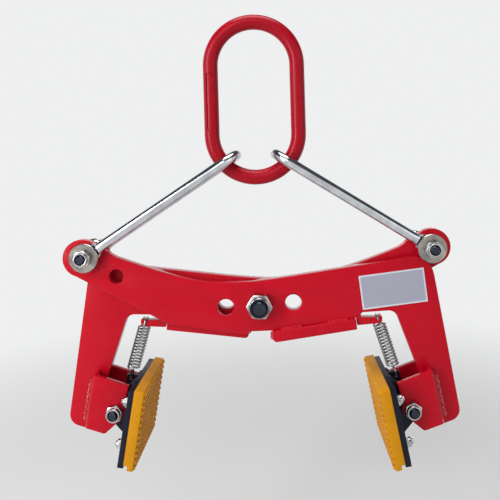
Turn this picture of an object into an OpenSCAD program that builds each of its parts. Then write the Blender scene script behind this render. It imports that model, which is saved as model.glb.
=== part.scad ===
// Scissor clamp for lifting kerbs and slabs from a crane hook.
// Origin: the inner crown of the master link, where the hook bears. X runs from
// the left jaw to the right jaw, Y from front to back, Z up.
// Two equal arms cross on one bolt. The front arm has its ear on the left and its
// jaw on the right, and the rear arm is the same part turned half round Z.

/* [Master link] */
// Thickness of the round bar
ring_bar = 16; // [12:1:18]
// Width inside the link
ring_inner_w = 76; // [70:1:84]
// Length inside the link
ring_inner_l = 149; // [140:1:170]

/* [Link rods] */
// Thickness of the bent rods
rod_d = 11; // [8:0.5:12]
// Distance of each leg's centre from the middle plane
rod_leg_y = 17.5; // [17:0.5:20]
// Sideways place of each bend from the middle
bend_x = 21; // [18:0.5:24]
// Play between a bend and the link's bow
bend_play = 2; // [1:0.5:4]
// Outer diameter of the forged eyes
rod_eye_d = 28; // [24:1:32]
// Thickness of the forged eyes
rod_eye_t = 6; // [4:0.5:7]

/* [Arms] */
// Thickness of the arm plates
plate_t = 10; // [8:1:12]
// Play between the two arms
arm_gap = 2; // [1:0.5:4]
// Height from the main bolt up to the bends of the link rods
bend_rise = 156.9; // [150:0.1:165]
// Sideways distance of the ear bolt from the main bolt
ear_x = 180; // [175:1:190]
// Height of the ear bolt over the main bolt
ear_z = 55; // [48:0.5:60]
// Radius of the ear
ear_r = 19.5; // [19:0.5:24]
// Diameter of the spare adjusting holes
adjust_hole_d = 17.4; // [16.5:0.1:18]
// Distance between the adjusting holes
adjust_pitch = 35.5; // [32:0.5:38]
// Diameter of the guide rope hole
rope_hole_d = 15; // [10:1:16]
// Thickness of the bar under the beam
bar_h = 11; // [8:1:12]
// Width of the bar under the beam
bar_w = 14; // [12:1:16]

/* [Jaws] */
// Sideways distance of the jaw bolt from the main bolt
jaw_x = 153; // [148:1:156]
// Depth of the jaw bolt under the main bolt
jaw_drop = 106.5; // [100:0.5:110]
// Half the width over the two cheeks
cheek_out = 20; // [19:0.5:22]
// Thickness of a cheek
cheek_t = 6; // [5:0.5:7]
// Height of the rubber pads
pad_h = 79.8; // [70:0.2:90]
// Width of the rubber pads, front to back
pad_w = 94; // [80:1:100]
// Thickness of the rubber pads
pad_t = 12; // [10:1:14]
// Thickness of the plate behind each pad
backing_t = 6; // [5:0.5:7]
// Lean of the pads, tops inwards
pad_lean = 10.2; // [8:0.2:14]

/* [Springs] */
// Thickness of the spring wire
wire_d = 2; // [1.5:0.1:2.5]
// Outer diameter of the coils
coil_d = 14; // [12:0.5:15]
// Number of turns
coil_turns = 14; // [10:1:16]

/* [Hidden] */
ring_bow_r = ring_inner_w / 2;
low_bow_z = -(ring_inner_l - ring_bow_r);
bend_reach = ring_bow_r - rod_d / 2 - bend_play;
bend_z = low_bow_z - sqrt(bend_reach * bend_reach - bend_x * bend_x);
pivot_z = bend_z - bend_rise;
arm_y = (plate_t + arm_gap) / 2;
stack_y = arm_y + plate_t / 2;
face_play = 0.3;
fit_play = 0.05;
link_dx = ear_x - bend_x;
link_dz = bend_rise - ear_z;
link_len = sqrt(link_dx * link_dx + link_dz * link_dz);
link_angle = atan2(link_dz, link_dx);
small_bolt_d = 10;
main_bolt_d = 16;
small_nut_af = 16;
main_nut_af = 24;
washer_d = 30;
washer_t = 2.5;
ear_at = [-185.4, 53.4];
ear_root = ear_r - 0.4;
hook_at = [122.3, -15.7];
tongue_at = [141.2, -78];
lug_play = 0.5;
lug_t = 6;
bend_lean = 10.8;
stud_d = 6;
stud_nut_af = 10;
$fn = 48;

// Points along an arc, in degrees
function arc(c, r, a0, a1, n = 8) =
    [for (i = [0:n]) let (a = a0 + (a1 - a0) * i / n) [c[0] + r * cos(a), c[1] + r * sin(a)]];

// Points along a curve from p to q that heads for c
function sweep(p, c, q, n = 10) =
    [for (i = [0:n]) let (t = i / n) (1 - t) * (1 - t) * p + 2 * t * (1 - t) * c + t * t * q];

// A flat profile drawn in X and Z, thickened evenly about y = 0
module upright(t) {
    translate([0, t / 2, 0]) rotate([90, 0, 0]) linear_extrude(t) children();
}

// A round bar along Y from y0 to y1
module cross_bar(r, y0, y1) {
    translate([0, y1, 0]) rotate([90, 0, 0]) cylinder(r = r, h = y1 - y0);
}

// Places children in the frame of an arm: 0 is the front arm, 1 is the rear arm
module on_arm(which) {
    translate([0, 0, pivot_z]) rotate([0, 0, 180 * which]) translate([0, -arm_y, 0]) children();
}

// Places children on a jaw bolt's middle: side 1 is the right jaw, -1 the left one
module on_jaw(side) {
    translate([side * jaw_x, -side * arm_y, pivot_z - jaw_drop]) children();
}

// Outline of an arm, with its ear on the left and its jaw on the right
module arm_profile() {
    polygon(concat(
        [ear_at + ear_root * [cos(60), sin(60)], [-158, 60.4], [-155.3, 57.2]],
        sweep([-149.5, 53.8], [-72, 24.3], [-40, 24.3]),
        sweep([-8, 24.3], [25, 27], [70, 33.3]),
        [[160, 45.4]],
        arc([161.5, 23.6], 22, 80, 9, 6),
        arc([194, -115], 12, 9, -70, 6),
        [[184, -131], [177, -133.5], [172, -96]],
        arc([134.4, -19.8], 10, 20.6, 90, 6),
        [[108, -10.9]],
        arc([108, -13.6], 2.7, 90, 270, 6),
        [[123.6, -16.8], [125.6, -14.8]],
        arc([126, -16.6], 1.8, 90, 0, 4),
        arc([124.4, -19.4], 3.4, 0, -90, 4),
        [[101.5, -24.3], [100.4, -16.4], [12, -27.4], [-10.5, -27.6], [-17.6, -30.6]],
        arc([-94, -11.8], 6, -81, -119, 4),
        [ear_at + ear_root * [-cos(60), -sin(60)], ear_at]));
}

// Centres of the three holes in a row, of which the middle one holds the main bolt
function adjust_at(i) = [i * adjust_pitch * cos(3.1), i * adjust_pitch * sin(3.1)];

module arm_plate() {
    color("crimson") difference() {
        union() {
            upright(plate_t) arm_profile();
            translate([ear_at[0], 0, ear_at[1]]) cross_bar(ear_r, -plate_t / 2, plate_t / 2);
        }
        cross_bar(main_bolt_d / 2 + fit_play, -plate_t, plate_t);
        for (i = [-1, 1]) translate([adjust_at(i)[0], 0, adjust_at(i)[1]])
            cross_bar(adjust_hole_d / 2, -plate_t, plate_t);
        translate([-149, 0, 33.6]) cross_bar(rope_hole_d / 2, -plate_t, plate_t);
        translate([-ear_x, 0, ear_z]) cross_bar(small_bolt_d / 2 + fit_play, -plate_t, plate_t);
    }
}

// Flat bar welded under the jaw side of the beam. Its inner face is flush with the plate.
module arm_bar() {
    color("crimson") translate([0, plate_t / 2 - bar_w / 2, 0]) upright(bar_w) polygon(concat(
        [[12.6, -27.35], [99.6, -16.55], [100.9, -16.6 - bar_h]],
        arc([17, -23.6 - bar_h], 4, -80, -172, 4)));
}

// Side outline of a jaw cheek. Its top drops over the bent edge.
module cheek_profile() {
    polygon(concat(
        [[138.5, -80.5], [174.5, -67.8], [182.5, -76.2], [205, -121], [188.5, -121.3]],
        arc([165.6, -125.2], 3.6, -72, -130, 4),
        arc([jaw_x, -jaw_drop], 9.9, -125, -225, 8),
        [[142, -94]]));
}

// Cheek that stands off the plate and is bent back to it: face 1 is the inner side
module cheek(face) {
    lift = cheek_out - cheek_t;
    bend_at = [174.2, -70];
    edge_run = 6.5;
    foot_inner = -0.2;
    bend_inner = -4.1;
    color("crimson") scale([1, face, 1]) difference() {
        intersection() {
            translate([0, cheek_out / 2 + 2, 0]) upright(cheek_out) cheek_profile();
            translate([bend_at[0], 0, bend_at[1]]) rotate([0, -bend_lean, 0]) translate([0, 0, -90])
                linear_extrude(150) polygon([[-60, lift], [-60, cheek_out], [0, cheek_out],
                    [edge_run, plate_t / 2], [foot_inner, plate_t / 2], [bend_inner, lift]]);
        }
        translate([jaw_x, 0, -jaw_drop]) cross_bar(small_bolt_d / 2 + fit_play, -1, 40);
    }
}

// Hexagon bolt from a head at the back to a point at the front
module hex_bolt(d, af, head_h, y_head, y_point) {
    color("silver") {
        cross_bar(d / 2, y_point, y_head);
        translate([0, y_head + head_h, 0]) rotate([90, 0, 0])
            cylinder(d = af / cos(30), h = head_h, $fn = 6);
    }
}

// Lock nut: a hexagon with a round collar that holds the nylon ring, collar at the front
module lock_nut(d, af, h, y_back) {
    color("silver") difference() {
        union() {
            translate([0, y_back, 0]) rotate([90, 0, 0]) cylinder(d = af / cos(30), h = h * 0.62, $fn = 6);
            translate([0, y_back, 0]) rotate([90, 0, 0]) cylinder(d = af * 0.92, h = h);
        }
        cross_bar(d / 2 + fit_play / 2, y_back - h - 1, y_back + 1);
    }
}

module plain_ring(d_out, d_in, y0, y1) {
    difference() {
        cross_bar(d_out / 2, y0, y1);
        cross_bar(d_in / 2, y0 - 1, y1 + 1);
    }
}

// Closed oblong link of round bar, its inner crown at z = 0
module master_link() {
    bow_c = ring_bow_r + ring_bar / 2;
    color("firebrick") {
        for (side = [-1, 1]) translate([side * bow_c, 0, low_bow_z])
            cylinder(d = ring_bar, h = -ring_bow_r - low_bow_z);
        translate([0, 0, -ring_bow_r]) rotate([90, 0, 0])
            rotate_extrude(angle = 180) translate([bow_c, 0]) circle(d = ring_bar);
        translate([0, 0, low_bow_z]) rotate([90, 0, 180])
            rotate_extrude(angle = -180) translate([bow_c, 0]) circle(d = ring_bar);
    }
}

// Round rod bent into a long U with a flat eye on each leg. It is drawn with the tip
// of the bend at the origin and its legs along -X.
module bent_rod() {
    inner = stack_y + face_play;
    color("silver") difference() {
        union() {
            translate([-rod_leg_y, 0, 0]) rotate([0, 0, -90])
                rotate_extrude(angle = 180) translate([rod_leg_y, 0]) circle(d = rod_d);
            for (side = [-1, 1]) translate([-link_len + 8, side * rod_leg_y, 0]) rotate([0, 90, 0])
                cylinder(d = rod_d, h = link_len - 8 - rod_leg_y);
            translate([-link_len, 0, 0]) {
                cross_bar(rod_eye_d / 2, inner, inner + rod_eye_t);
                cross_bar(rod_eye_d / 2, -inner - rod_eye_t, -inner);
            }
        }
        translate([-link_len, 0, 0]) {
            cross_bar(washer_d / 2 + 0.8, inner + rod_eye_t, 40);
            cross_bar(washer_d / 2 + 0.8, -40, -inner - rod_eye_t);
            cross_bar(small_bolt_d / 2 + fit_play, -40, 40);
        }
    }
}

module left_link() { translate([-bend_x, 0, bend_z]) rotate([0, -link_angle, 0]) bent_rod(); }
module right_link() { mirror([1, 0, 0]) left_link(); }

module front_arm() { on_arm(0) arm_plate(); }
module rear_arm() { on_arm(1) arm_plate(); }
module front_arm_bar() { on_arm(0) arm_bar(); }
module rear_arm_bar() { on_arm(1) arm_bar(); }
module front_arm_outer_cheek() { on_arm(0) cheek(-1); }
module front_arm_inner_cheek() { on_arm(0) cheek(1); }
module rear_arm_outer_cheek() { on_arm(1) cheek(-1); }
module rear_arm_inner_cheek() { on_arm(1) cheek(1); }

module pivot_bolt() {
    translate([0, 0, pivot_z]) hex_bolt(main_bolt_d, main_nut_af, 10, stack_y, -stack_y - 17.5);
}

module pivot_nut() { translate([0, 0, pivot_z]) lock_nut(main_bolt_d, main_nut_af, 16, -stack_y); }

// Washer that keeps the two arms apart
module pivot_spacer() {
    color("silver") translate([0, 0, pivot_z])
        plain_ring(34, main_bolt_d + 0.4, -arm_gap / 2, arm_gap / 2);
}

eye_out = stack_y + face_play + rod_eye_t + face_play;

module on_ear(side) { translate([side * ear_x, 0, pivot_z + ear_z]) children(); }

module ear_bolt() { hex_bolt(small_bolt_d, small_nut_af, 6.4, eye_out + washer_t, -eye_out - washer_t - 11); }
module ear_nut() { lock_nut(small_bolt_d, small_nut_af, 10, -eye_out - washer_t); }
module ear_washers() {
    color("silver") {
        plain_ring(washer_d, small_bolt_d + 0.5, -eye_out - washer_t, -eye_out);
        plain_ring(washer_d, small_bolt_d + 0.5, eye_out, eye_out + washer_t);
    }
}
// Bush that fills the other arm's plane beside the ear
module ear_spacer(side) {
    color("silver") plain_ring(18, small_bolt_d + 0.2,
        side < 0 ? arm_y - plate_t / 2 - arm_gap : -stack_y, side < 0 ? stack_y : -arm_y + plate_t / 2 + arm_gap);
}

module left_ear_bolt() { on_ear(-1) ear_bolt(); }
module left_ear_nut() { on_ear(-1) ear_nut(); }
module left_ear_washers() { on_ear(-1) ear_washers(); }
module left_ear_spacer() { on_ear(-1) ear_spacer(-1); }
module right_ear_bolt() { on_ear(1) ear_bolt(); }
module right_ear_nut() { on_ear(1) ear_nut(); }
module right_ear_washers() { on_ear(1) ear_washers(); }
module right_ear_spacer() { on_ear(1) ear_spacer(1); }

module jaw_bolt() { hex_bolt(small_bolt_d, small_nut_af, 6.4, cheek_out, -cheek_out - 11); }
module jaw_nut() { lock_nut(small_bolt_d, small_nut_af, 10, -cheek_out); }
module left_jaw_bolt() { on_jaw(-1) jaw_bolt(); }
module left_jaw_nut() { on_jaw(-1) jaw_nut(); }
module right_jaw_bolt() { on_jaw(1) jaw_bolt(); }
module right_jaw_nut() { on_jaw(1) jaw_nut(); }

// Frame of a pad: origin on the foot of the jaw bolt on the gripping face, X from the
// gripping face back to the jaw bolt, Z up along the face
grip_x = 33.3;
pad_up = 36.8;
lip_t = 8;
lip_h = 4.6;
module in_pad() { rotate([0, -pad_lean, 0]) translate([-grip_x, 0, 0]) children(); }

// Places a right-hand pad part on either jaw
module pad_side(side) { on_jaw(side) mirror([side < 0 ? 1 : 0, 0, 0]) in_pad() children(); }

stud_rows = [pad_up - 19.5, pad_up - pad_h + 17];
stud_y = 30;

// Steel plate behind the pad with two lugs that hang on the jaw bolt
module pad_bracket() {
    back = pad_t + backing_t;
    color("darkslategray") difference() {
        union() {
            translate([pad_t, -pad_w / 2 + 2, pad_up - pad_h + 1]) cube([backing_t, pad_w - 4, pad_h - 3]);
            for (side = [-1, 1])
                translate([0, side * (cheek_out - cheek_t - lug_play - lug_t / 2), 0]) upright(lug_t)
                    polygon(concat([[back - 0.5, 33.5], [back + 1.5, 33.5]], arc([grip_x, 0], 12, 48, -60, 8),
                        [[back + 3.5, -25], [back - 0.5, -25.5]]));
            // Tongue that the spring hooks into
            translate([back - 0.5, -2, 26]) cube([13.2, 4, 7.5]);
        }
        translate([grip_x, 0, 0]) cross_bar(small_bolt_d / 2 + fit_play, -40, 40);
        translate([back + 8.6, 0, 29.6]) cross_bar(2.4, -10, 10);
        for (z = stud_rows, y = [-stud_y, stud_y]) translate([pad_t - 1, y, z]) rotate([0, 90, 0])
            cylinder(d = stud_d + 0.2, h = backing_t + 2);
    }
}

// Moulded block with a lower lip on its gripping half
module grip_pad() {
    color("orange") difference() {
        upright(pad_w) polygon([[0, pad_up - 2], [2, pad_up], [pad_t, pad_up],
            [pad_t, pad_up - pad_h + lip_h], [lip_t, pad_up - pad_h + lip_h], [lip_t, pad_up - pad_h],
            [2, pad_up - pad_h], [0, pad_up - pad_h + 2]]);
        for (z = stud_rows, y = [-stud_y, stud_y]) translate([5, y, z]) rotate([0, 90, 0])
            cylinder(r = 8.1, h = pad_t);
    }
}

// Four screws with flat heads moulded into the rubber
module pad_studs() {
    color("silver") for (z = stud_rows, y = [-stud_y, stud_y]) translate([5.2, y, z]) rotate([0, 90, 0]) {
        cylinder(r = 8, h = pad_t - 5.2);
        cylinder(d = stud_d, h = pad_t + backing_t + 8 - 5.2);
    }
}

module pad_nuts() {
    color("silver") for (z = stud_rows, y = [-stud_y, stud_y])
        translate([pad_t + backing_t, y, z]) rotate([0, 90, 0]) difference() {
            union() {
                cylinder(d = stud_nut_af / cos(30), h = 3.9, $fn = 6);
                cylinder(d = stud_nut_af * 0.94, h = 6);
            }
            translate([0, 0, -1]) cylinder(d = stud_d + fit_play, h = 8);
        }
}

module left_pad_bracket() { pad_side(-1) pad_bracket(); }
module right_pad_bracket() { pad_side(1) pad_bracket(); }
module left_grip_pad() { pad_side(-1) grip_pad(); }
module right_grip_pad() { pad_side(1) grip_pad(); }
module left_pad_studs() { pad_side(-1) pad_studs(); }
module right_pad_studs() { pad_side(1) pad_studs(); }
module left_pad_nuts() { pad_side(-1) pad_nuts(); }
module right_pad_nuts() { pad_side(1) pad_nuts(); }

// Extension spring from the hooked finger of an arm down to the bracket's tongue. Its
// turns are rings that lean by the lead of the coil.
module spring() {
    run = tongue_at - hook_at;
    len = norm(run);
    pitch = 3.3;
    mean_r = (coil_d - wire_d) / 2;
    top = 9.5;
    color("silver") translate([hook_at[0], 0, hook_at[1]]) rotate([0, -atan2(run[0], -run[1]), 0]) {
        for (i = [0:coil_turns - 1]) translate([0, 0, -top - pitch * i]) rotate([atan(pitch / 2 / mean_r), 0, 0])
            rotate_extrude() translate([mean_r, 0]) circle(d = wire_d, $fn = 24);
        // Square loop over the finger
        cross_bar(wire_d / 2, -6.2, 6.2);
        for (side = [-1, 1]) translate([0, side * 6.2, 3 - top]) cylinder(d = wire_d, h = top - 3);
        // Loop through the tongue
        translate([0, 0, -len + 4]) rotate([90, 0, 90])
            rotate_extrude() translate([4, 0]) circle(d = wire_d, $fn = 24);
    }
}

module left_spring() { on_arm(1) spring(); }
module right_spring() { on_arm(0) spring(); }

// Bare label stuck on the front arm
module label_plate() {
    color("lightsteelblue") on_arm(0) translate([139.9, -plate_t / 2 - 0.25, 13])
        rotate([0, -6, 0]) cube([68.5, 0.5, 35.5], center = true);
}

master_link();
left_link();
right_link();
front_arm();
rear_arm();
front_arm_bar();
rear_arm_bar();
front_arm_outer_cheek();
front_arm_inner_cheek();
rear_arm_outer_cheek();
rear_arm_inner_cheek();
pivot_bolt();
pivot_nut();
pivot_spacer();
left_ear_bolt();
left_ear_nut();
left_ear_washers();
left_ear_spacer();
right_ear_bolt();
right_ear_nut();
right_ear_washers();
right_ear_spacer();
left_jaw_bolt();
left_jaw_nut();
right_jaw_bolt();
right_jaw_nut();
left_pad_bracket();
right_pad_bracket();
left_grip_pad();
right_grip_pad();
left_pad_studs();
right_pad_studs();
left_pad_nuts();
right_pad_nuts();
left_spring();
right_spring();
label_plate();
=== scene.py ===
import bpy
import math
import bmesh
from mathutils import Matrix, Vector


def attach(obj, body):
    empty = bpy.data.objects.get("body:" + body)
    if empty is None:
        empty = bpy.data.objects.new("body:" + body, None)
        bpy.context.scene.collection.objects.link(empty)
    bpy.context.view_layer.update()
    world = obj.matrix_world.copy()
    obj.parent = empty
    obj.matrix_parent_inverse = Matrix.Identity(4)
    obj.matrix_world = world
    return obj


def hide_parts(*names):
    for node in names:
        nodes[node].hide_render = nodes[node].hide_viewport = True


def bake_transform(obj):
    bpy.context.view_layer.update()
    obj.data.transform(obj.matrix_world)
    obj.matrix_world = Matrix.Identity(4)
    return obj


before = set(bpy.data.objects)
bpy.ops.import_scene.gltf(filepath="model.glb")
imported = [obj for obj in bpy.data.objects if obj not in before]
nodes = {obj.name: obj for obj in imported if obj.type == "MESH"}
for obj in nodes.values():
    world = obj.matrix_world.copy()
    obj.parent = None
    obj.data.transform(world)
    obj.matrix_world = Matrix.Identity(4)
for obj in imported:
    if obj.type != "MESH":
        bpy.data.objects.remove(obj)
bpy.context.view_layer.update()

mm = 0.001
scene = bpy.context.scene

# Places that the clamp's parts share, in millimetres. The clamp hangs open from its ring:
# X runs along the beams and -Y points at the viewer.
clamp = {
    "pivotZ": -290.019,   # middle bolt
    "bendX": 21.0,        # inner end of each rod, in the ring
    "bendZ": -133.119,
    "earX": 180.0,
    "earZ": -235.019,
    "jawX": 153.0,
    "jawZ": -396.519,
    "armY": 6.0,          # middle of each arm's plate
    "padLean": 10.2,      # degrees, top inwards
    "gripX": 33.3,        # jaw bolt to the gripping face
}


# Selecting and editing
def deselectAll():
    if bpy.context.object and bpy.context.object.mode != "OBJECT":
        bpy.ops.object.mode_set(mode="OBJECT")
    bpy.ops.object.select_all(action="DESELECT")


def focus(*objs):
    deselectAll()
    for obj in objs:
        obj.select_set(True)
    bpy.context.view_layer.objects.active = objs[0]


def editWhole(obj):
    focus(obj)
    bpy.ops.object.mode_set(mode="EDIT")
    bpy.ops.mesh.select_all(action="SELECT")


def endEdit():
    bpy.ops.object.mode_set(mode="OBJECT")


def extrudeBy(x, y, z, times=1):
    for i in range(times):
        bpy.ops.mesh.extrude_region_move(TRANSFORM_OT_translate={"value": (x * mm, y * mm, z * mm)})


def settle(obj):
    focus(obj)
    bpy.ops.object.transform_apply(location=True, rotation=True, scale=True)
    return obj


def applyAll(obj):
    focus(obj)
    for mod in list(obj.modifiers):
        bpy.ops.object.modifier_apply(modifier=mod.name)
    return obj


def joinAll(objs, name):
    focus(*objs)
    if len(objs) > 1:
        bpy.ops.object.join()
    joined = bpy.context.object
    joined.name = name
    joined.data.name = name
    return joined


def smooth(obj, angle):
    focus(obj)
    bpy.ops.object.shade_smooth_by_angle(angle=math.radians(angle))
    return obj


def fixNormals(obj):
    editWhole(obj)
    bpy.ops.mesh.remove_doubles(threshold=1e-6)
    bpy.ops.mesh.normals_make_consistent(inside=False)
    endEdit()
    return obj


def bevelEdges(obj, width, segments, angle):
    mod = obj.modifiers.new("roundedEdges", "BEVEL")
    mod.width = width * mm
    mod.segments = segments
    mod.limit_method = "ANGLE"
    mod.angle_limit = math.radians(angle)
    mod.harden_normals = False
    return applyAll(obj)


def cutWith(obj, tool, operation="DIFFERENCE"):
    mod = obj.modifiers.new("cut", "BOOLEAN")
    mod.operation = operation
    mod.solver = "EXACT"
    mod.object = tool
    applyAll(obj)
    bpy.data.objects.remove(tool)
    return obj


# A piece is named as its CAD node, in this script's way of writing names
def camelName(node):
    first, *others = node.split("_")
    return first + "".join(word.capitalize() for word in others)


# A copy of a CAD node with its loose triangles merged and its edges rounded
def roundedCopy(node, name, width, segments=3, angle=35):
    deselectAll()
    obj = bpy.data.objects.new(name, nodes[node].data.copy())
    scene.collection.objects.link(obj)
    editWhole(obj)
    bpy.ops.mesh.remove_doubles(threshold=2e-6)
    bpy.ops.mesh.dissolve_limited(angle_limit=math.radians(0.6))
    endEdit()
    bevelEdges(obj, width, segments, angle)
    return smooth(obj, angle=40)


# Ties a finished piece to its body and hides the CAD nodes that it replaces
def dress(obj, body, slotName, *replaced):
    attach(obj, body)
    if replaced:
        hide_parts(*replaced)
    return obj


def coat(obj, material):
    obj.data.materials.clear()
    obj.data.materials.append(material)
    return obj


def place(obj, body, slotName, material, *replaced):
    return dress(coat(obj, material), body, slotName, *replaced)


# Copies a finished piece, with its own mesh, and moves it by a matrix in metres
def copyBy(obj, name, matrix):
    deselectAll()
    twin = obj.copy()
    twin.data = obj.data.copy()
    twin.name = name
    twin.data.name = name
    scene.collection.objects.link(twin)
    twin.data.transform(matrix)
    if matrix.determinant() < 0:
        twin.data.flip_normals()
    return twin


# Moves an unfinished piece to a place in millimetres and turns it in the XZ plane
def setAt(obj, x, y, z, spin=0.0):
    turn = Matrix.Rotation(math.radians(spin), 4, "Y")
    obj.data.transform(Matrix.Translation((x * mm, y * mm, z * mm)) @ turn)
    return obj


# A turned piece round the Y axis. Its profile holds (radius, distance towards the viewer) in mm.
def turned(name, profile, steps):
    deselectAll()
    bpy.ops.mesh.primitive_plane_add(size=0.001)
    obj = bpy.context.object
    obj.name = name
    mesh = bmesh.new()
    points = [mesh.verts.new((radius * mm, -distance * mm, 0)) for radius, distance in profile]
    for a, b in zip(points, points[1:]):
        mesh.edges.new((a, b))
    mesh.to_mesh(obj.data)
    mesh.free()
    editWhole(obj)
    bpy.ops.mesh.spin(steps=steps, angle=2 * math.pi, center=(0, 0, 0), axis=(0, 1, 0))
    bpy.ops.mesh.select_all(action="SELECT")
    bpy.ops.mesh.remove_doubles(threshold=2e-6)
    bpy.ops.mesh.normals_make_consistent(inside=False)
    endEdit()
    return obj


# A tube along points in metres, each with its own thickness factor
def tubeAlong(name, points, radius, factors=None):
    deselectAll()
    curve = bpy.data.curves.new(name, "CURVE")
    curve.dimensions = "3D"
    curve.bevel_depth = radius * mm
    curve.bevel_resolution = 3
    curve.use_fill_caps = True
    line = curve.splines.new("POLY")
    line.points.add(len(points) - 1)
    for i, p in enumerate(points):
        line.points[i].co = (*p, 1)
        line.points[i].radius = factors[i] if factors else 1
    obj = bpy.data.objects.new(name, curve)
    scene.collection.objects.link(obj)
    focus(obj)
    bpy.ops.object.convert(target="MESH")
    return smooth(bpy.context.object, angle=60)


# Shader nodes
def feed(tree, socket, value):
    if isinstance(value, bpy.types.NodeSocket):
        tree.links.new(value, socket)
    else:
        socket.default_value = value


filmOutputs = {"Color": "NodeSocketColor", "Roughness": "NodeSocketFloat", "Height": "NodeSocketFloat"}


def newGroup(name, inputs):
    group = bpy.data.node_groups.new(name, "ShaderNodeTree")
    for label, kind, value in inputs:
        socket = group.interface.new_socket(name=label, in_out="INPUT", socket_type=kind)
        socket.default_value = value
    for label, kind in filmOutputs.items():
        group.interface.new_socket(name=label, in_out="OUTPUT", socket_type=kind)
    given = group.nodes.new("NodeGroupInput").outputs
    out = group.nodes.new("NodeGroupOutput").inputs
    where = group.nodes.new("ShaderNodeTexCoord").outputs["Object"]
    return group, given, out, where


def noiseAt(tree, vector, scale, detail=3.0, roughness=0.5):
    noise = tree.nodes.new("ShaderNodeTexNoise")
    noise.inputs["Detail"].default_value = detail
    noise.inputs["Roughness"].default_value = roughness
    feed(tree, noise.inputs["Scale"], scale)
    tree.links.new(vector, noise.inputs["Vector"])
    return noise.outputs["Fac"]


# Stretches a value's range from low to high over 0 to 1
def ramp(tree, value, low, high, kind="LINEAR"):
    spread = tree.nodes.new("ShaderNodeMapRange")
    spread.interpolation_type = kind
    spread.inputs["From Min"].default_value = low
    spread.inputs["From Max"].default_value = high
    tree.links.new(value, spread.inputs["Value"])
    return spread.outputs["Result"]


# Clouds of noise, stretched from the look's low to its high
def cloudsAt(tree, where, look, detail, roughness=0.5):
    return ramp(tree, noiseAt(tree, where, look["scale"], detail, roughness), look["low"], look["high"])


def mathNode(tree, operation, a, b):
    node = tree.nodes.new("ShaderNodeMath")
    node.operation = operation
    feed(tree, node.inputs[0], a)
    feed(tree, node.inputs[1], b)
    return node.outputs[0]


def mixColour(tree, factor, a, b):
    node = tree.nodes.new("ShaderNodeMix")
    node.data_type = "RGBA"
    colours = [socket for socket in node.inputs if socket.type == "RGBA"]
    feed(tree, node.inputs["Factor"], factor)
    feed(tree, colours[0], a)
    feed(tree, colours[1], b)
    return [socket for socket in node.outputs if socket.type == "RGBA"][0]


# Sprayed enamel: a slow change of tone, a thin film of dust and a fine orange peel
enamelLook = {
    "tone": {"scale": 14, "low": 0.3, "high": 0.7, "lightest": 1.03, "drop": 0.1},
    "dust": {"scale": 60, "low": 0.52, "high": 0.8},
    "gloss": {"scale": 35, "low": 0.35, "high": 0.75, "spread": 0.16},
    "peel": 420,
    "runs": {"scale": 45, "share": 2.0},
}


def buildEnamelFilm():
    group, given, out, where = newGroup("enamelFilm", [
        ("Paint", "NodeSocketColor", (0.5, 0.01, 0.02, 1)),
        ("Dust", "NodeSocketColor", (0.4, 0.3, 0.28, 1)),
        ("Dust Amount", "NodeSocketFloat", 0.15),
        ("Gloss", "NodeSocketFloat", 0.25),
    ])
    look = enamelLook
    drop = mathNode(group, "MULTIPLY", cloudsAt(group, where, look["tone"], detail=2), look["tone"]["drop"])
    shaded = group.nodes.new("ShaderNodeHueSaturation")
    group.links.new(mathNode(group, "SUBTRACT", look["tone"]["lightest"], drop), shaded.inputs["Value"])
    group.links.new(given["Paint"], shaded.inputs["Color"])
    dust = cloudsAt(group, where, look["dust"], detail=6, roughness=0.65)
    amount = mathNode(group, "MULTIPLY", dust, given["Dust Amount"])
    group.links.new(mixColour(group, amount, shaded.outputs["Color"], given["Dust"]), out["Color"])
    clouds = cloudsAt(group, where, look["gloss"], detail=4)
    spread = mathNode(group, "MULTIPLY", clouds, look["gloss"]["spread"])
    group.links.new(mathNode(group, "ADD", given["Gloss"], spread), out["Roughness"])
    runs = noiseAt(group, where, look["runs"]["scale"], detail=1)
    runs = mathNode(group, "MULTIPLY", runs, look["runs"]["share"])
    peel = noiseAt(group, where, look["peel"], detail=2)
    group.links.new(mathNode(group, "ADD", peel, runs), out["Height"])
    return group


# Plated metal: clouds in the plating, fine scratches and a few dull spots
platingLook = {
    "clouds": {"scale": 90, "low": 0.3, "high": 0.75},
    "spots": {"scale": 240, "low": 0.5, "high": 0.85, "share": 0.25},
    "scratches": {"low": 0.4, "high": 0.8, "share": 0.16},
}


def buildPlatingFilm():
    group, given, out, where = newGroup("platingFilm", [
        ("Metal", "NodeSocketColor", (0.7, 0.7, 0.7, 1)),
        ("Tint", "NodeSocketColor", (0.6, 0.6, 0.66, 1)),
        ("Gloss", "NodeSocketFloat", 0.2),
        ("Wear", "NodeSocketFloat", 1.0),
        ("Scratch Stretch", "NodeSocketVector", (400, 400, 60)),
    ])
    look = platingLook
    stretch = group.nodes.new("ShaderNodeVectorMath")
    stretch.operation = "MULTIPLY"
    group.links.new(where, stretch.inputs[0])
    group.links.new(given["Scratch Stretch"], stretch.inputs[1])
    scratch = noiseAt(group, stretch.outputs[0], scale=1.0, detail=4, roughness=0.6)
    clouds = cloudsAt(group, where, look["clouds"], detail=4)
    group.links.new(mixColour(group, clouds, given["Metal"], given["Tint"]), out["Color"])
    spots = cloudsAt(group, where, look["spots"], detail=5)
    dull = mathNode(group, "MULTIPLY", spots, look["spots"]["share"])
    lines = ramp(group, scratch, look["scratches"]["low"], look["scratches"]["high"])
    lines = mathNode(group, "MULTIPLY", lines, look["scratches"]["share"])
    wear = mathNode(group, "MULTIPLY", mathNode(group, "ADD", dull, lines), given["Wear"])
    group.links.new(mathNode(group, "ADD", wear, given["Gloss"]), out["Roughness"])
    group.links.new(scratch, out["Height"])
    return group


# Cast polymer or film: slight mottling and a fine matt skin
polymerLook = {"mottle": {"low": 0.45, "high": 0.8}, "spread": 0.25, "skin": 900}


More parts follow.
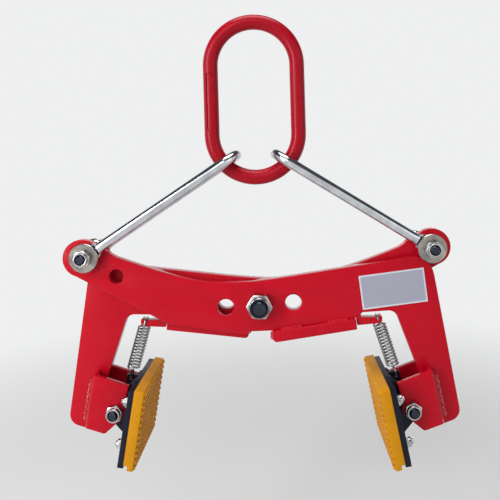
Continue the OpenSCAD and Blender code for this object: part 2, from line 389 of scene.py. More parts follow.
def buildPolymerSkin():
    group, given, out, where = newGroup("polymerSkin", [
        ("Body", "NodeSocketColor", (0.8, 0.4, 0.03, 1)),
        ("Stain", "NodeSocketColor", (0.3, 0.16, 0.05, 1)),
        ("Stain Amount", "NodeSocketFloat", 0.3),
        ("Gloss", "NodeSocketFloat", 0.4),
        ("Size", "NodeSocketFloat", 90.0),
    ])
    mottle = polymerLook["mottle"]
    patches = noiseAt(group, where, given["Size"], detail=5, roughness=0.6)
    patches = ramp(group, patches, mottle["low"], mottle["high"])
    amount = mathNode(group, "MULTIPLY", patches, given["Stain Amount"])
    group.links.new(mixColour(group, amount, given["Body"], given["Stain"]), out["Color"])
    spread = mathNode(group, "MULTIPLY", patches, polymerLook["spread"])
    group.links.new(mathNode(group, "ADD", given["Gloss"], spread), out["Roughness"])
    group.links.new(noiseAt(group, where, polymerLook["skin"], detail=3), out["Height"])
    return group


enamelFilm = buildEnamelFilm()
platingFilm = buildPlatingFilm()
polymerSkin = buildPolymerSkin()


# A finish is one of the three films with its own values, plus plain values of the shader.
# The bump is its strength and its distance in metres.
def makeMaterial(name, film, filmValues, shaderValues, bump):
    material = bpy.data.materials.new(name)
    material.use_nodes = True
    tree = material.node_tree
    shader = tree.nodes["Principled BSDF"]
    box = tree.nodes.new("ShaderNodeGroup")
    box.node_tree = film
    for key, value in filmValues.items():
        box.inputs[key].default_value = value
    tree.links.new(box.outputs["Color"], shader.inputs["Base Color"])
    tree.links.new(box.outputs["Roughness"], shader.inputs["Roughness"])
    for key, value in shaderValues.items():
        shader.inputs[key].default_value = value
    relief = tree.nodes.new("ShaderNodeBump")
    relief.inputs["Strength"].default_value = bump[0]
    relief.inputs["Distance"].default_value = bump[1]
    tree.links.new(box.outputs["Height"], relief.inputs["Height"])
    tree.links.new(relief.outputs["Normal"], shader.inputs["Normal"])
    return material


# Wet-looking enamel: its clear top film shows at a slant, on edges and side faces
slantLook = {"blend": 0.5, "roughness": 0.16, "ior": 1.4}


def glossAtSlant(material, low, high):
    tree = material.node_tree
    shader = tree.nodes["Principled BSDF"]
    slant = tree.nodes.new("ShaderNodeLayerWeight")
    slant.inputs["Blend"].default_value = slantLook["blend"]
    tree.links.new(ramp(tree, slant.outputs["Facing"], low, high), shader.inputs["Coat Weight"])
    shader.inputs["Coat Roughness"].default_value = slantLook["roughness"]
    shader.inputs["Coat IOR"].default_value = slantLook["ior"]


redEnamel = makeMaterial("redEnamel", enamelFilm,
    {"Paint": (0.50, 0.003, 0.015, 1), "Dust": (0.50, 0.05, 0.06, 1), "Dust Amount": 0.05, "Gloss": 0.22},
    {"Specular IOR Level": 0.14}, (0.12, 0.0003))
glossAtSlant(redEnamel, 0.25, 0.6)
ringEnamel = makeMaterial("ringEnamel", enamelFilm,
    {"Paint": (0.36, 0.002, 0.012, 1), "Dust": (0.26, 0.015, 0.025, 1), "Dust Amount": 0.04, "Gloss": 0.2},
    {"Specular IOR Level": 0.16}, (0.06, 0.0003))
glossAtSlant(ringEnamel, 0.5, 1.0)
# Enamel over the rough weld beads, whose lumps glint
weldEnamel = makeMaterial("weldEnamel", enamelFilm,
    {"Paint": (0.50, 0.003, 0.015, 1), "Dust": (0.50, 0.05, 0.06, 1), "Dust Amount": 0.05, "Gloss": 0.06},
    {"Specular IOR Level": 0.7, "Coat Weight": 0.5, "Coat Roughness": 0.08}, (0.5, 0.0006))
navyEnamel = makeMaterial("navyEnamel", enamelFilm,
    {"Paint": (0.005, 0.006, 0.018, 1), "Dust": (0.04, 0.04, 0.05, 1), "Dust Amount": 0.2, "Gloss": 0.3},
    {"Specular IOR Level": 0.2}, (0.15, 0.0003))
brightRod = makeMaterial("brightRod", platingFilm,
    {"Metal": (0.66, 0.68, 0.70, 1), "Tint": (0.42, 0.44, 0.48, 1), "Gloss": 0.1, "Wear": 0.35,
     "Scratch Stretch": (60, 500, 500)},
    {"Metallic": 1.0}, (0.012, 0.0001))
brightZinc = makeMaterial("brightZinc", platingFilm,
    {"Metal": (0.64, 0.64, 0.63, 1), "Tint": (0.24, 0.245, 0.255, 1), "Gloss": 0.16,
     "Scratch Stretch": (300, 300, 300)},
    {"Metallic": 1.0}, (0.08, 0.0001))
# The ear washers are darker, duller and a little brown
dullBrownZinc = makeMaterial("dullBrownZinc", platingFilm,
    {"Metal": (0.45, 0.42, 0.38, 1), "Tint": (0.17, 0.155, 0.14, 1), "Gloss": 0.2,
     "Scratch Stretch": (300, 300, 300)},
    {"Metallic": 1.0}, (0.12, 0.0001))
# The bolts' thread ends are near-black metal: a painted dark reflection of the surroundings that their flat
# ends mirror, not the steel's own colour
threadPaintedDarkReflection = makeMaterial("threadPaintedDarkReflection", platingFilm,
    {"Metal": (0.055, 0.062, 0.085, 1), "Tint": (0.028, 0.032, 0.045, 1), "Gloss": 0.26,
     "Scratch Stretch": (300, 300, 300)},
    {"Metallic": 1.0}, (0.1, 0.0001))
springWire = makeMaterial("springWire", platingFilm,
    {"Metal": (0.40, 0.41, 0.42, 1), "Tint": (0.20, 0.205, 0.22, 1), "Gloss": 0.2,
     "Scratch Stretch": (200, 200, 200)},
    {"Metallic": 1.0}, (0.05, 0.0001))
yellowPad = makeMaterial("yellowPad", polymerSkin,
    {"Body": (0.60, 0.255, 0.002, 1), "Stain": (0.38, 0.155, 0.004, 1), "Stain Amount": 0.3,
     "Gloss": 0.38, "Size": 60.0},
    {"Specular IOR Level": 0.16, "Subsurface Weight": 0.05, "Subsurface Radius": (0.004, 0.002, 0.0008)},
    (0.12, 0.0002))
nylonRing = makeMaterial("nylonRing", polymerSkin,
    {"Body": (0.010, 0.016, 0.038, 1), "Stain": (0.05, 0.06, 0.09, 1), "Stain Amount": 0.3,
     "Gloss": 0.3, "Size": 300.0},
    {"Specular IOR Level": 0.4}, (0.1, 0.0001))
labelFilm = makeMaterial("labelFilm", polymerSkin,
    {"Body": (0.35, 0.36, 0.44, 1), "Stain": (0.30, 0.31, 0.39, 1), "Stain Amount": 0.4,
     "Gloss": 0.34, "Size": 40.0},
    {}, (0.05, 0.0001))
labelEdge = makeMaterial("labelEdge", polymerSkin,
    {"Body": (0.62, 0.66, 0.72, 1), "Stain": (0.52, 0.56, 0.62, 1), "Stain Amount": 0.3,
     "Gloss": 0.34, "Size": 40.0},
    {}, (0.05, 0.0001))
print("materials ready")


# Arms, bars and cheeks
armLook = {"plateEdge": 1.2, "barEdge": 1.0, "cheekEdge": 0.9, "cheekAngle": 20}
for side in ("front", "rear"):
    arm = side + "_arm"
    plate = roundedCopy(arm, side + "ArmPlate", armLook["plateEdge"])
    place(plate, arm, "arm_paint", redEnamel, arm)
    bar = roundedCopy(arm + "_bar", side + "ArmBar", armLook["barEdge"])
    place(bar, arm, "arm_paint", redEnamel, arm + "_bar")
    for facing in ("outer", "inner"):
        node = arm + "_" + facing + "_cheek"
        cheek = roundedCopy(node, camelName(node), armLook["cheekEdge"], angle=armLook["cheekAngle"])
        place(cheek, arm, "arm_paint", redEnamel, node)
print("arms ready")


# Weld beads, with places in the arm's own frame. Sine waves of unequal length stand in for
# chance, each with its height, its rate per mm and its start.
weldLook = {
    "ripple": 1.9, "depth": 0.16, "pointsPerMm": 2.2, "ends": 0.55, "endPoints": 4,
    "wander": [(0.05, 0.9, 1.3), (0.04, 0.37, 0)],
    "lumps": [(0.5, 1.7, 0.4), (1, 0.61, 2.0), (0.25, 2.9, 0)],
    "stray": (0.45, 0.8, 0.6),
}
welds = {
    # Along the bar, where its proud outer face meets the plate
    "BarWeldA": {"from": (22, -5.3, -26.0), "to": (44, -5.3, -23.2), "radius": 2.1, "rough": 0},
    "BarWeldB": {"from": (70, -5.3, -20.0), "to": (92, -5.3, -17.3), "radius": 2.1, "rough": 0},
    # Round the bar's inner end
    "BarEndWeld": {"from": (12.2, -5.2, -27.8), "to": (12.8, -5.4, -36.4), "radius": 2.2, "rough": 0.5},
    # Where the bent edges of the cheeks lie on the plate
    "CheekWeldOuter": {"from": (182.2, -5.4, -77), "to": (190.6, -5.4, -120.8), "radius": 1.7, "rough": 0.5},
    "CheekWeldInner": {"from": (182.2, 5.4, -77), "to": (190.6, 5.4, -120.8), "radius": 1.7, "rough": 0.5},
}


# Each arm's own frame has its ear on the left; the rear arm's is turned half round
def armPoint(side, x, y, z):
    turn = 1 if side == "front" else -1
    return Vector((turn * x, turn * (y - clamp["armY"]), clamp["pivotZ"] + z)) * mm


def wave(along, height, rate, start):
    return height * math.sin(along * rate + start)


def weldBead(name, side, weld):
    look = weldLook
    start = armPoint(side, *weld["from"])
    end = armPoint(side, *weld["to"])
    length = (end - start).length / mm
    count = max(8, int(length * look["pointsPerMm"]))
    points, factors = [], []
    for i in range(count + 1):
        t = i / count
        along = length * t
        swell = 1 - look["depth"] * (1 - math.sin(math.pi * (along / look["ripple"] % 1)))
        wander = sum(wave(along, *each) for each in look["wander"])
        coarse, slow, fine = (wave(along, *each) for each in look["lumps"])
        lumps = (coarse * slow + fine) * weld["rough"]
        taper = look["ends"] + (1 - look["ends"]) * min(t, 1 - t) * count / look["endPoints"]
        stray = wave(along, *look["stray"]) * weld["rough"] * mm
        points.append(start.lerp(end, t) + Vector((stray, 0, 0)))
        factors.append((swell + wander + lumps) * min(1, taper))
    return tubeAlong(name, points, weld["radius"], factors)


for side in ("front", "rear"):
    for name, weld in welds.items():
        bead = weldBead(side + name, side, weld)
        place(bead, side + "_arm", "arm_paint", weldEnamel if weld["rough"] else redEnamel)
print("welds ready")


# Master link
ringLook = {
    "bar": 8.0, "bowX": 46.0, "topZ": -38.0, "lowZ": -111.0,
    "sides": 48, "bowSteps": 48, "legSteps": 12,
    "strip": {"z": -76.0, "wide": 8.4, "long": 61.0, "deep": 1.1, "reach": 6.0, "corner": 0.3},
}


# The die for the bare strip: a rounded block, hollowed so that the strip is evenly deep
def makeStripDie():
    strip = ringLook["strip"]
    x, z = -ringLook["bowX"] * mm, strip["z"] * mm
    deselectAll()
    bpy.ops.mesh.primitive_cube_add(size=1, location=(x, -ringLook["bar"] * mm, z))
    die = bpy.context.object
    die.scale = (strip["wide"] * mm, strip["reach"] * mm, strip["long"] * mm)
    settle(die)
    bevelEdges(die, strip["wide"] * strip["corner"], segments=5, angle=30)
    deselectAll()
    bpy.ops.mesh.primitive_cylinder_add(vertices=64, radius=(ringLook["bar"] - strip["deep"]) * mm,
        depth=2 * strip["long"] * mm, location=(x, 0, z))
    return cutWith(die, settle(bpy.context.object))


# One round section is drawn up the right leg, over the bow, down the left leg and back below
def makeRing():
    deselectAll()
    bpy.ops.mesh.primitive_circle_add(vertices=ringLook["sides"], radius=ringLook["bar"] * mm,
        location=(ringLook["bowX"] * mm, 0, ringLook["lowZ"] * mm))
    ring = settle(bpy.context.object)
    rise = (ringLook["topZ"] - ringLook["lowZ"]) / ringLook["legSteps"]
    editWhole(ring)
    for bowZ, step in ((ringLook["topZ"], rise), (ringLook["lowZ"], -rise)):
        extrudeBy(0, 0, step, ringLook["legSteps"])
        bpy.ops.mesh.spin(steps=ringLook["bowSteps"], angle=math.pi, center=(0, 0, bowZ * mm), axis=(0, 1, 0))
    endEdit()
    fixNormals(ring)
    cutWith(ring, makeStripDie())
    ring.name = "ringBar"
    return smooth(ring, angle=30)


place(makeRing(), "master_link", "ring_paint", ringEnamel, "master_link")
print("ring ready")


# Bent rods. A forged end's stations hold the distance from the eye's centre, the centre of
# the section, half its depth and half its height.
rodLook = {
    "radius": 5.5, "legY": 17.5, "round": 24, "legSteps": 8, "bendSteps": 28,
    "forged": [(26, 17.5, 5.5, 5.5), (20, 17.5, 5.5, 5.6), (17.5, 17.1, 5.2, 6.0),
        (15.9, 15.4, 3.9, 7.0), (14.2, 14.3, 2.95, 8.0), (8, 14.3, 2.9, 9.0)],
    "eye": [(5.1, 0.4), (5.6, 0), (13.2, 0), (14, 0.8), (14, 5.2), (13.2, 6), (5.6, 6), (5.1, 5.6),
        (5.1, 0.4)],
    "eyeY": 14.3, "eyeThick": 6.0,
}
rodRun = (clamp["earX"] - clamp["bendX"], clamp["bendZ"] - clamp["earZ"])
rodReach = math.hypot(*rodRun)
rodSlope = math.atan2(rodRun[1], rodRun[0])


def addSection(x, y, radius):
    deselectAll()
    bpy.ops.mesh.primitive_circle_add(vertices=rodLook["round"], radius=radius, location=(x * mm, y * mm, 0),
        rotation=(0, math.pi / 2, 0))
    return settle(bpy.context.object)


# Both legs and the bend between them, along X with the bend's middle at the origin
def makeRodLegs():
    y = rodLook["legY"]
    start = rodLook["forged"][0][0] - rodReach
    step = (-y - start) / rodLook["legSteps"]
    legs = addSection(start, -y, rodLook["radius"] * mm)
    editWhole(legs)
    extrudeBy(step, 0, 0, rodLook["legSteps"])
    bpy.ops.mesh.spin(steps=rodLook["bendSteps"], angle=math.pi, center=(-y * mm, 0, 0), axis=(0, 0, -1))
    extrudeBy(-step, 0, 0, rodLook["legSteps"])
    endEdit()
    return fixNormals(legs)


# The leg narrows between the plate and the washer, then runs into the eye. The sections are
# extruded in steps of a metre, so that a vertex's X tells its station.
def makeForgedEnd(turn):
    stations = rodLook["forged"]
    end = addSection(0, 0, 1)
    editWhole(end)
    for i in range(len(stations) - 1):
        bpy.ops.mesh.extrude_region_move(TRANSFORM_OT_translate={"value": (-1, 0, 0)})
    bpy.ops.mesh.edge_face_add()
    endEdit()
    for v in end.data.vertices:
        x, middle, halfDepth, halfHeight = stations[min(len(stations) - 1, int(round(-v.co.x)))]
        v.co = ((x - rodReach) * mm, (turn * middle + v.co.y * halfDepth) * mm, v.co.z * halfHeight * mm)
    return fixNormals(end)


def makeRod(name):
    parts = [makeRodLegs()]
    for turn in (-1, 1):
        parts.append(makeForgedEnd(turn))
        eye = turned("eye", rodLook["eye"], steps=56)
        parts.append(setAt(eye, -rodReach, turn * rodLook["eyeY"] + rodLook["eyeThick"] / 2, 0))
    return smooth(fixNormals(joinAll(parts, name)), angle=38)


leftRod = makeRod("leftRod")
toRing = Matrix.Translation((-clamp["bendX"] * mm, 0, clamp["bendZ"] * mm))
leftRod.data.transform(toRing @ Matrix.Rotation(-rodSlope, 4, "Y"))
rightRod = copyBy(leftRod, "rightRod", Matrix.Scale(-1, 4, (1, 0, 0)))
place(leftRod, "left_link", "rod_chrome", brightRod, "left_link")
place(rightRod, "right_link", "rod_chrome", brightRod, "right_link")
print("rods ready")


# Bolts and nuts by size: diameter, width across flats, nut and head height, thread pitch
# and the inner radius of the nut's rolled rim
hardware = {
    "m6": {"d": 6.0, "af": 10.0, "nutH": 6.0, "headH": 4.0, "pitch": 1.0, "rim": 3.5},
    "m10": {"d": 10.0, "af": 16.0, "nutH": 10.0, "headH": 6.4, "pitch": 1.5, "rim": 5.4},
    "m16": {"d": 16.0, "af": 24.0, "nutH": 16.0, "headH": 10.0, "pitch": 2.0, "rim": 9.4},
}


# The corners of a hexagon are turned off to a circle at both ends. The two radii are shares of
# the width across flats, and the slope is a share of the step between them.
hexLook = {"face": 0.475, "wide": 0.60, "slope": 0.55}


def hexBlock(name, af, height):
    deselectAll()
    corner = af / 2 / math.cos(math.pi / 6)
    bpy.ops.mesh.primitive_cylinder_add(vertices=6, radius=corner * mm, depth=height * mm,
        location=(0, -height / 2 * mm, 0), rotation=(math.pi / 2, 0, 0))
    block = settle(bpy.context.object)
    block.name = name
    face = af * hexLook["face"]
    wide = af * hexLook["wide"]
    drop = (wide - face) * hexLook["slope"]
    profile = [(0, 0), (face, 0), (wide, drop), (wide, height - drop), (face, height), (0, height)]
    return cutWith(block, turned("turnedOff", profile, steps=64), "INTERSECT")


# Threads, in shares of the pitch. A turn says where it leaves its root, reaches its crest,
# leaves that and is back at its root. Play and coneRound are in mm.
threadLook = {
    "depth": 0.55, "play": 0.06, "turn": (0.12, 0.45, 0.6, 0.95), "runOut": 0.9,
    "cone": 0.5, "tip": 0.4, "coneRound": 0.05,
}


def threadEnd(name, size, start, length):
    look, pitch = threadLook, size["pitch"]
    root = size["d"] / 2 - pitch * look["depth"]
    crest = size["d"] / 2 - look["play"]
    tip = start + length
    profile = [(0, start), (root, start)]
    for i in range(int((length - pitch * look["runOut"]) / pitch)):
        for radius, share in zip((root, crest, crest, root), look["turn"]):
            profile.append((radius, start + i * pitch + pitch * share))
    cone = (root + look["coneRound"], tip - pitch * look["cone"])
    profile += [cone, (root - pitch * look["tip"], tip), (0, tip)]
    return turned(name, profile, steps=40)


# Lock nuts: hexagon and collar of steel, rolled over a sunk nylon ring. Heights are shares of the
# nut's height, and the wall's radii are shares of the width across flats.
nutLook = {
    "hex": 0.64, "foot": 0.5, "wall": [(0.46, 0.5), (0.46, 0.86), (0.452, 0.93), (0.43, 0.985)],
    "lip": 0.25, "lipAt": 0.985, "rimAt": 0.95,
    "nylonFoot": 0.6, "nylonBore": 0.88, "nylonTop": 0.92, "nylonRound": 0.3,
    "inSteel": 0.1, "onThread": 0.05,
}


def lockNut(name, kind):
    size, look = hardware[kind], nutLook
    af, high, rim = size["af"], size["nutH"], size["rim"]
    block = hexBlock("nutHex", af, high * look["hex"])
    foot = (rim, high * look["foot"])
    wall = [(af * across, high * up) for across, up in look["wall"]]
    crown = ((rim + wall[-1][0]) / 2, high)
    edge = [(rim + look["lip"], high * look["lipAt"]), (rim, high * look["rimAt"])]
    collar = turned("nutCollar", [foot, *wall, crown, *edge, foot], steps=56)
    steel = coat(joinAll([block, collar], name), brightZinc)
    inner, outer = size["d"] / 2 - look["onThread"], rim + look["inSteel"]
    low, top = high * look["nylonFoot"], high * look["nylonTop"]
    nylon = turned("nutInsert", [(inner, low), (inner, high * look["nylonBore"]),
        (inner + look["nylonRound"], top), (outer, top), (outer, low), (inner, low)], steps=48)
    return smooth(joinAll([steel, coat(nylon, nylonRing)], name), angle=34)


# Bolts by place: from the middle of the stack that they clamp to each bearing face, and how far
# the end runs beyond the front one. Nothing lines a head up with its nut, so it is turned further.
# The seat under a head has radii in shares of the width across flats.
boltLook = {
    "pivot": {"size": "m16", "half": 11.0, "past": 17.5},
    "ear": {"size": "m10", "half": 20.1, "past": 11.0},
    "jaw": {"size": "m10", "half": 20.0, "past": 11.0},
    "headSpin": 1.7, "pivotSpin": 34, "seat": [(0, -0.6), (0.46, -0.6), (0.47, 0), (0, 0)],
}


# The head is at the back and the nut in front
def boltSet(node, kind, middle, body, spin):
    look = boltLook[kind]
    size = hardware[look["size"]]
    x, y, z = middle
    half = look["half"]
    nut = setAt(lockNut(camelName(node + "_nut"), look["size"]), x, y - half, z, spin)
    dress(nut, body, "zinc", node + "_nut")
    head = setAt(hexBlock("head", size["af"], size["headH"]), 0, size["headH"], 0)
    seat = turned("seat", [(size["af"] * across, up) for across, up in boltLook["seat"]], steps=48)
    radius = size["d"] / 2
    shank = turned("shank", [(0, 0), (radius, 0), (radius, 2 * half), (0, 2 * half)], steps=40)
    steel = coat(joinAll([head, seat, shank], "steel"), brightZinc)
    # The threaded end takes the near-black painted reflection
    end = coat(threadEnd("end", size, 2 * half, look["past"]), threadPaintedDarkReflection)
    bolt = smooth(joinAll([steel, end], camelName(node + "_bolt")), angle=34)
    setAt(bolt, x, y + half, z, spin * boltLook["headSpin"])
    dress(bolt, body, "zinc", node + "_bolt")


# Each side's sign on X, whose ear and jaw are there, and how the nuts are turned
sides = {
    "left": {"turn": -1, "earArm": "front_arm", "jawArm": "rear_arm", "earSpin": 12, "jawSpin": 20},
    "right": {"turn": 1, "earArm": "rear_arm", "jawArm": "front_arm", "earSpin": 25, "jawSpin": 4},
}
washerLook = {
    "profile": [(5.3, 0.3), (5.6, 0), (14.5, 0), (15, 0.5), (15, 2.0), (14.5, 2.5), (5.6, 2.5), (5.3, 2.2),
        (5.3, 0.3)],
    "y": (-17.6, 20.1),   # the inner face in front and the outer face at the back
}
boltSet("pivot", "pivot", (0, 0, clamp["pivotZ"]), "front_arm", boltLook["pivotSpin"])
for side, own in sides.items():
    ear = (own["turn"] * clamp["earX"], 0, clamp["earZ"])
    boltSet(side + "_ear", "ear", ear, own["earArm"], own["earSpin"])
for side, own in sides.items():
    jaw = (own["turn"] * clamp["jawX"], -own["turn"] * clamp["armY"], clamp["jawZ"])
    boltSet(side + "_jaw", "jaw", jaw, own["jawArm"], own["jawSpin"])
for side, own in sides.items():
    x, z = own["turn"] * clamp["earX"], clamp["earZ"]
    pair = [setAt(turned("washer", washerLook["profile"], steps=64), x, y, z) for y in washerLook["y"]]
    washers = smooth(joinAll(pair, side + "EarWashers"), angle=34)
    place(washers, own["earArm"], "zinc", dullBrownZinc, side + "_ear_washers")
for spacer in ("pivot_spacer", "left_ear_spacer", "right_ear_spacer"):
    coat(nodes[spacer], brightZinc)
print("bolts ready")


# Pads. They are drawn in the right pad's frame, with X from the gripping face to the jaw bolt.
padLook = {
    "height": 79.8, "up": 36.8, "width": 94.0, "thick": 12.0, "edge": 0.9,
    "rows": 13, "columns": 15, "tooth": 1.9, "flank": 0.85, "valley": 0.75,
    "lipThick": 8.0, "lipHeight": 4.6, "cutter": 10.0,
    "nutX": 18.0, "nutY": 30.0, "nutRows": ({"z": 17.3, "spin": 34}, {"z": -26.0, "spin": 4}),
    "studFrom": -12.0, "studLong": 20.0, "bracketEdge": 0.6,
}


def padMatrix(turn):
    toBolt = Matrix.Translation((-clamp["gripX"] * mm, 0, 0))
    lean = Matrix.Rotation(math.radians(-clamp["padLean"]), 4, "Y")
    mirror = Matrix.Scale(turn, 4, (1, 0, 0))
    bolt = Matrix.Translation((turn * clamp["jawX"] * mm, -turn * clamp["armY"] * mm, clamp["jawZ"] * mm))
    return bolt @ mirror @ lean @ toBolt


# One closed block: the toothed front is a grid whose cells are inset and raised, and its
# border is drawn back to the bracket's plate. Below, a thinner lip is left.
def makePad():
    look = padLook
    high, wide, half = look["height"] * mm, look["width"] * mm, look["cutter"] * mm
    middleZ = (look["up"] - look["height"] / 2) * mm
    deselectAll()
    bpy.ops.mesh.primitive_grid_add(x_subdivisions=look["rows"], y_subdivisions=look["columns"], size=1,
        location=(0, 0, 0), rotation=(0, -math.pi / 2, 0))
    pad = bpy.context.object
    pad.scale = (high, wide, 1)
    settle(pad)
    pad.data.transform(Matrix.Translation((look["tooth"] * mm, 0, middleZ)))
    editWhole(pad)
    bpy.ops.mesh.inset(thickness=look["valley"] * mm, use_individual=True)
    bpy.ops.mesh.inset(thickness=look["flank"] * mm, use_individual=True)
    bpy.ops.transform.translate(value=(-look["tooth"] * mm, 0, 0))
    bpy.ops.mesh.select_all(action="DESELECT")
    bpy.ops.mesh.select_non_manifold()
    extrudeBy(look["thick"] - look["tooth"], 0, 0)
    bpy.ops.mesh.edge_face_add()
    bpy.ops.mesh.select_all(action="SELECT")
    bpy.ops.mesh.normals_make_consistent(inside=False)
    endEdit()
    lipTop = middleZ - high / 2 + look["lipHeight"] * mm
    deselectAll()
    bpy.ops.mesh.primitive_cube_add(size=2, location=(look["lipThick"] * mm + half, 0, lipTop - half))
    cutter = bpy.context.object
    cutter.scale = (half, wide, half)
    cutWith(pad, settle(cutter))
    bevelEdges(pad, look["edge"], segments=3, angle=75)
    pad.name = "rightPad"
    return smooth(pad, angle=28)


# Four studs and their nuts at the back of a pad
def makeFixings(turn):
    nuts, studs = [], []
    for row in padLook["nutRows"]:
        for y in (-padLook["nutY"], padLook["nutY"]):
            at = Matrix.Translation((padLook["nutX"] * mm, y * mm, row["z"] * mm))
            toBack = padMatrix(turn) @ at @ Matrix.Rotation(math.radians(90), 4, "Z")
            nut = lockNut("padNut", "m6")
            nut.data.transform(toBack @ Matrix.Rotation(math.radians(row["spin"]), 4, "Y"))
            stud = threadEnd("stud", hardware["m6"], padLook["studFrom"], padLook["studLong"])
            stud.data.transform(toBack)
            nuts.append(nut)
            studs.append(stud)
    if turn < 0:
        for piece in nuts + studs:
            piece.data.flip_normals()
    return nuts, studs


rightPad = makePad()
leftPad = copyBy(rightPad, "leftPad", padMatrix(-1))
rightPad.data.transform(padMatrix(1))
for side, pad in (("left", leftPad), ("right", rightPad)):
    body = side + "_pad"
    place(pad, body, "pad_rubber", yellowPad, side + "_grip_pad")
    bracket = roundedCopy(body + "_bracket", side + "Bracket", padLook["bracketEdge"], segments=2)
    place(bracket, body, "bracket_paint", navyEnamel, body + "_bracket")
    nuts, studs = makeFixings(sides[side]["turn"])
    dress(smooth(joinAll(nuts, side + "PadNuts"), angle=34), body, "zinc", body + "_nuts")
    place(smooth(joinAll(studs, side + "PadStuds"), angle=34), body, "zinc", brightZinc, body + "_studs")
print("pads ready")


# Springs, in the arm's own frame. The hook's points are (y, z) from the top end.
springLook = {
    "wire": 1.0, "radius": 6.0, "turns": 14, "pitch": 3.3, "steps": 26,
    "topAt": (122.3, -15.7), "footAt": (141.2, -78.0), "coilFrom": 8.8,
    "hook": [(-6.2, -3.5), (-6.2, -1.6), (-5.6, -0.4), (-4.4, 0), (0, 0.05), (4.4, 0), (5.6, -0.4),
        (6.2, -1.6), (6.3, -5.0)],
    "intoCoil": (0.3, 6.2, -7.2),
    "loop": 4.0, "loopTurn": 285, "loopSteps": 16, "straightSteps": 6,
    "ownEnds": (8, -9),   # the path's points at the arm's end and at the pad's end
}


def springPath():
    look = springLook
    radius, loop = look["radius"], look["loop"]
    (topX, topZ), (footX, footZ) = look["topAt"], look["footAt"]
    reach = math.hypot(footX - topX, footZ - topZ)
    coil = look["turns"] * look["pitch"]
    # Over the finger: up one side, across, and a short way down the other
    points = [(0, y, z) for y, z in look["hook"]] + [look["intoCoil"]]
    count = look["turns"] * look["steps"]
    for i in range(count + 1):
        a = math.pi / 2 + 2 * math.pi * look["turns"] * i / count
        points.append((radius * math.cos(a), radius * math.sin(a), -look["coilFrom"] - coil * i / count))
    # Down to the loop through the bracket's tongue
    low = -look["coilFrom"] - coil
    for i in range(1, look["straightSteps"] + 1):
        t = i / look["straightSteps"]
        points.append((0, points[-1][1] * (1 - t) + loop * t, low - t * (reach - loop + low)))
    for i in range(1, look["loopSteps"] + 1):
        a = math.radians(-look["loopTurn"] * i / look["loopSteps"])
        points.append((0, loop * math.cos(a), loop * (1 + math.sin(a)) - reach))
    lean = math.atan2(footX - topX, topZ - footZ)
    cosine, sine = math.cos(lean), math.sin(lean)
    return [(topX + x * cosine - z * sine, y, topZ + x * sine + z * cosine) for x, y, z in points]


for side, where in (("front", "right"), ("rear", "left")):
    path = [armPoint(side, *p) for p in springPath()]
    spring = coat(tubeAlong(where + "Spring", path, springLook["wire"]), springWire)
    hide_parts(where + "_spring")
    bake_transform(spring)
print("springs ready")


# Label: a bare film with a lighter border
labelLook = {
    "x": 139.9, "y": -11.25, "z": 13.0, "wide": 68.5, "high": 35.5, "thick": 0.5, "turn": 6.0,
    "border": 1.6,
}


def makeLabel():
    look = labelLook
    deselectAll()
    bpy.ops.mesh.primitive_cube_add(size=1)
    label = bpy.context.object
    label.name = "bareLabel"
    label.scale = (look["wide"] * mm, look["thick"] * mm, look["high"] * mm)
    settle(label)
    label.data.materials.append(labelEdge)
    label.data.materials.append(labelFilm)
    editWhole(label)
    bpy.ops.mesh.select_all(action="DESELECT")
    endEdit()
    for f in label.data.polygons:
        f.select = f.normal.y < -0.9
    bpy.ops.object.mode_set(mode="EDIT")
    bpy.ops.mesh.inset(thickness=look["border"] * mm, depth=0)
    endEdit()
    middle = max((f for f in label.data.polygons if f.normal.y < -0.9), key=lambda f: f.area)
    middle.material_index = 1
    at = Matrix.Translation((look["x"] * mm, look["y"] * mm, (clamp["pivotZ"] + look["z"]) * mm))
    label.data.transform(at @ Matrix.Rotation(math.radians(-look["turn"]), 4, "Y"))
    return label


dress(makeLabel(), "front_arm", "label", "label_plate")
print("label ready")


# Floor, room, light and camera
studio = {
    "floorZ": -0.622,   # below the jaws of the closed clamp, which hang lower than open ones
    "floorTone": (0.76, 0.76, 0.76, 1), "floorRough": 0.8, "floorShine": 0.1, "floorSize": 30,
    "fade": (0.3, 1.2),   # metres from the middle
    "roomTone": (0.86, 0.865, 0.87, 1), "ceilingTone": (0.08, 0.085, 0.10, 1), "ceilingRise": (0.3, 0.6),
    "ambientTone": (0.86, 0.87, 0.88, 1), "ambient": 0.3,
    "aimZ": -0.25,   # where the lamps point, on the middle line
}


# Camera, glossy and transmission rays meet the pale room, so metal shows it too
def seenRays(tree):
    rays = tree.nodes.new("ShaderNodeLightPath")
    seen = rays.outputs["Is Camera Ray"]
    for kind in ("Is Glossy Ray", "Is Transmission Ray"):
        seen = mathNode(tree, "MAXIMUM", seen, rays.outputs[kind])
    return seen


# Shows the second shader instead of the first, by a factor
def mixOver(tree, factor, first, second, output):
    mixer = tree.nodes.new("ShaderNodeMixShader")
    tree.links.new(factor, mixer.inputs["Fac"])
    tree.links.new(first, mixer.inputs[1])
    tree.links.new(second, mixer.inputs[2])
    tree.links.new(mixer.outputs["Shader"], tree.nodes[output].inputs["Surface"])


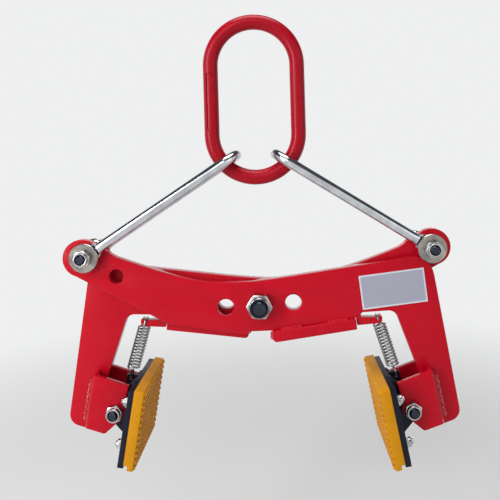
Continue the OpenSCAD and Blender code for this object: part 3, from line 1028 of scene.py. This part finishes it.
# The floor takes the clamp's shadow near by and fades into the room further out
def makeFloor():
    deselectAll()
    bpy.ops.mesh.primitive_plane_add(size=studio["floorSize"], location=(0, 0, studio["floorZ"]))
    floor = bpy.context.object
    floor.name = "paleFloor"
    paint = bpy.data.materials.new("floorPaint")
    paint.use_nodes = True
    tree = paint.node_tree
    shader = tree.nodes["Principled BSDF"]
    shader.inputs["Base Color"].default_value = studio["floorTone"]
    shader.inputs["Roughness"].default_value = studio["floorRough"]
    shader.inputs["Specular IOR Level"].default_value = studio["floorShine"]
    away = tree.nodes.new("ShaderNodeVectorMath")
    away.operation = "LENGTH"
    tree.links.new(tree.nodes.new("ShaderNodeTexCoord").outputs["Object"], away.inputs[0])
    fade = ramp(tree, away.outputs["Value"], *studio["fade"], "SMOOTHSTEP")
    far = tree.nodes.new("ShaderNodeEmission")
    far.inputs["Color"].default_value = studio["roomTone"]
    factor = mathNode(tree, "MULTIPLY", fade, seenRays(tree))
    mixOver(tree, factor, shader.outputs["BSDF"], far.outputs["Emission"], "Material Output")
    floor.data.materials.append(paint)


# The room is pale all round and has a darker ceiling
def makeRoom():
    world = bpy.data.worlds.new("paleRoom")
    scene.world = world
    world.use_nodes = True
    tree = world.node_tree
    soft = tree.nodes["Background"]
    soft.inputs["Color"].default_value = studio["ambientTone"]
    soft.inputs["Strength"].default_value = studio["ambient"]
    direction = tree.nodes.new("ShaderNodeSeparateXYZ")
    tree.links.new(tree.nodes.new("ShaderNodeTexCoord").outputs["Generated"], direction.inputs["Vector"])
    rise = ramp(tree, direction.outputs["Z"], *studio["ceilingRise"], "SMOOTHSTEP")
    seen = tree.nodes.new("ShaderNodeBackground")
    tree.links.new(mixColour(tree, rise, studio["roomTone"], studio["ceilingTone"]), seen.inputs["Color"])
    mixOver(tree, seenRays(tree), soft.outputs["Background"], seen.outputs["Background"], "World Output")


# The strip on the left draws the long highlights on the ring and the rods
lamps = {
    "stripLamp": {"at": (-1.05, -0.95, 0.1), "wide": 0.45, "tall": 1.1, "power": 14.5},
    "keyLamp": {"at": (-0.4, -1.4, 0.7), "wide": 0.8, "tall": 0.8, "power": 4.5},
    "fillLamp": {"at": (1.1, -1.0, 0.2), "wide": 0.9, "tall": 0.9, "power": 1.6},
    "topLamp": {"at": (0.0, -0.1, 1.1), "wide": 0.9, "tall": 0.9, "power": 14},
}
# The camera stands at the photo's place and is rolled as the clamp hangs there
view = {
    "at": (0.0238, -0.591, -0.13377), "roll": 1.6, "sensor": 36, "lens": 39.96,
    "shiftX": -0.0566, "shiftY": -0.1906,
}


def addLamp(name, lamp):
    light = bpy.data.lights.new(name, "AREA")
    light.shape = "RECTANGLE"
    light.size = lamp["wide"]
    light.size_y = lamp["tall"]
    light.energy = lamp["power"]
    obj = bpy.data.objects.new(name, light)
    scene.collection.objects.link(obj)
    obj.location = lamp["at"]
    aim = Vector((0, 0, studio["aimZ"])) - Vector(lamp["at"])
    obj.rotation_euler = aim.to_track_quat("-Z", "Y").to_euler()


def addCamera():
    data = bpy.data.cameras.new("frontCamera")
    data.sensor_width = view["sensor"]
    data.lens = view["lens"]
    data.shift_x = view["shiftX"]
    data.shift_y = view["shiftY"]
    camera = bpy.data.objects.new("frontCamera", data)
    scene.collection.objects.link(camera)
    camera.location = view["at"]
    level = Matrix.Rotation(math.radians(90), 4, "X")
    camera.rotation_euler = (level @ Matrix.Rotation(math.radians(-view["roll"]), 4, "Z")).to_euler()
    scene.camera = camera


makeFloor()
makeRoom()
for name, lamp in lamps.items():
    addLamp(name, lamp)
addCamera()
scene.view_settings.view_transform = "Standard"

print("scene ready")
